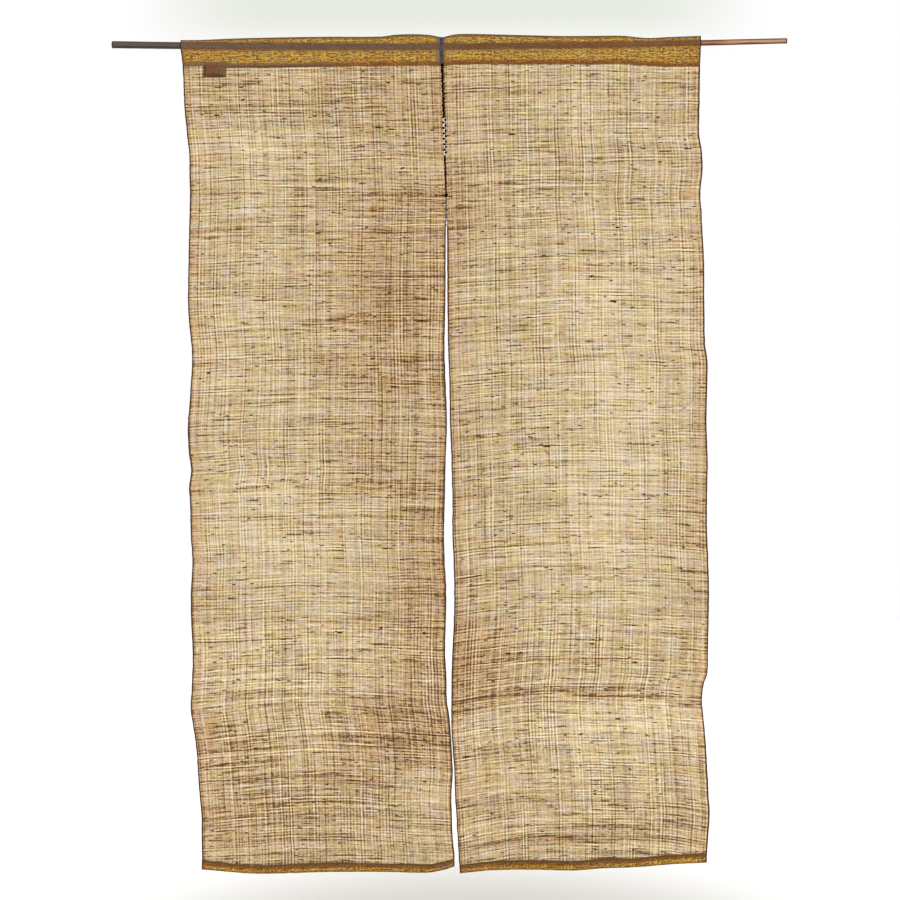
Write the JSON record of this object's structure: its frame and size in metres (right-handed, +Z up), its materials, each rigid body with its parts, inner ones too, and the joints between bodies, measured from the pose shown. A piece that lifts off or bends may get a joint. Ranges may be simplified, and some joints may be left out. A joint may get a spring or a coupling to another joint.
{
  "type": "noren curtain on its hanging stick",
  "caption": "Long handwoven cloth noren, its panels hung edge to edge from a thin tapered wooden stick through folded-over casings, parted below by a slit.",
  "frame": {"origin": "middle of the stick's axis, where the curtain hangs", "axes": "+Z up, +X to the right seen from the front, along the stick, -Y towards the viewer in front of the curtain"},
  "size_m": [0.972, 0.0162, 1.2089],
  "materials": {
    "cloth": "loosely handwoven natural hemp or ramie, semi-sheer, matt",
    "stick": "thin brown stick, satin",
    "label": "plain brown cloth tag, matt, bare"
  },
  "bodies": {
    "root": {"panel_left": "cloth", "panel_right": "cloth", "rod": "stick", "label": "label"}
  },
  "joints": []
}
